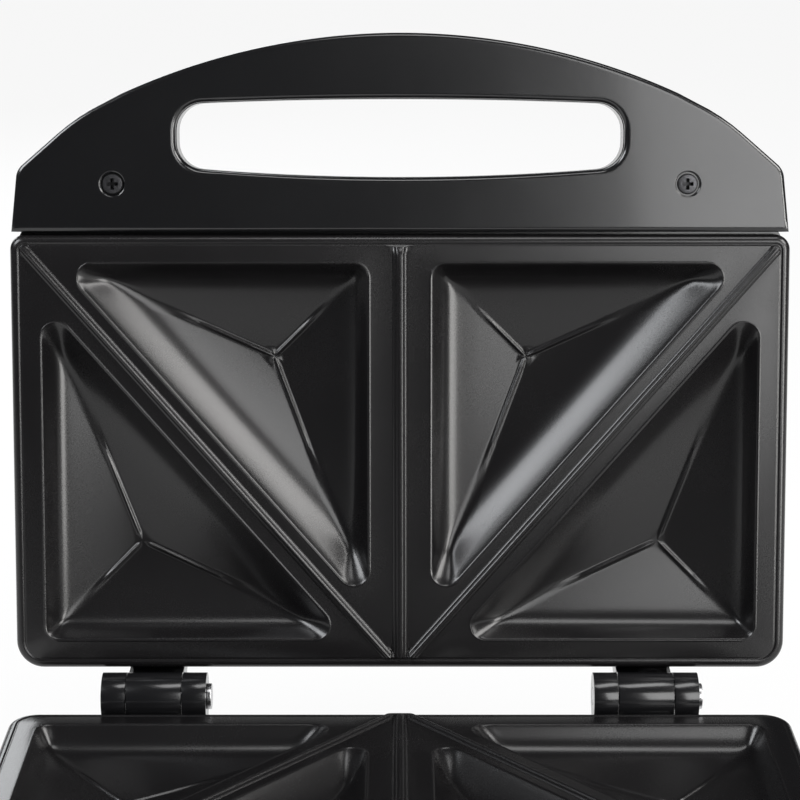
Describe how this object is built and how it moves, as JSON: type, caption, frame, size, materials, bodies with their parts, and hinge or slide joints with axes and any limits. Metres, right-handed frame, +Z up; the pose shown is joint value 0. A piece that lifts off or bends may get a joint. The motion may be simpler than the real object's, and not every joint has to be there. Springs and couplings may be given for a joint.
{
  "type": "sandwich toaster",
  "caption": "Two-slice electric sandwich toaster with a hinged lid, non-stick plates with triangular pockets, a loop handle and a swing latch; shown open.",
  "frame": {"origin": "on the ground under the middle of the open toaster's bounding box", "axes": "+Z up, -Y towards the handle, +X to the right seen from the handle; the hinge axis runs along X"},
  "size_m": [0.226, 0.2783, 0.2371],
  "materials": {
    "shell_plastic": "gloss black phenolic, fine orange peel",
    "cover_plastic": "gloss black phenolic",
    "nonstick": "semi-gloss black non-stick coating on cast aluminium",
    "black_steel": "blackened steel, satin",
    "element_steel": "heat-tinted stainless tube",
    "zinc_steel": "zinc-plated steel",
    "shield_sheet": "aluminised sheet",
    "pin_steel": "turned steel",
    "ceramic": "matt white steatite",
    "gland_rubber": "matt black",
    "foot_rubber": "matt black",
    "fibre_clamp": "moulded, matt",
    "latch_plastic": "gloss black",
    "bakelite_brown": "brown phenolic",
    "fuse_metal": "bright can",
    "lamp_glass": "clear glass neon",
    "red_lens": "translucent red, polished",
    "green_lens": "translucent green, polished"
  },
  "bodies": {
    "base": {"base_shell": "shell_plastic", "base_handle_cover": "cover_plastic", "base_cooking_plate": "nonstick", "base_cover_screws": "black_steel", "base_heating_element": "element_steel", "base_element_clamps": "zinc_steel", "base_clamp_screws": "zinc_steel", "base_heat_shield": "shield_sheet", "base_shield_screws": "zinc_steel", "base_terminal_block": "ceramic", "base_terminal_screw": "zinc_steel", "cord_inlet_gland": "gland_rubber", "cord_clamp": "fibre_clamp", "cord_clamp_screws": "zinc_steel", "rubber_feet": "foot_rubber", "foot_screws": "zinc_steel", "hinge_pins": "pin_steel", "latch_pin": "pin_steel"},
    "lid": {"lid_shell": "shell_plastic", "lid_handle_cover": "cover_plastic", "lid_cooking_plate": "nonstick", "lid_cover_screws": "black_steel", "lid_heating_element": "element_steel", "lid_element_clamps": "zinc_steel", "lid_clamp_screws": "zinc_steel", "lid_heat_shield": "shield_sheet", "lid_shield_screws": "zinc_steel", "thermostat": "bakelite_brown", "thermostat_bracket": "zinc_steel", "thermostat_screw": "zinc_steel", "thermal_fuse": "fuse_metal", "fuse_clip": "zinc_steel", "lamp_holder": "ceramic", "neon_lamps": "lamp_glass", "power_lens": "red_lens", "ready_lens": "green_lens"},
    "latch": {"latch": "latch_plastic"}
  },
  "joints": [
    {"name": "lid_hinge", "type": "hinge", "parent": "base", "child": "lid", "pos_m": [0, 0.07647, 0.047], "axis": [-1, 0, 0], "range_deg": [-100, 0]},
    {"name": "latch_hinge", "type": "hinge", "parent": "base", "child": "latch", "pos_m": [0, -0.10903, 0.037], "axis": [1, 0, 0], "range_deg": [-97, 0]}
  ]
}
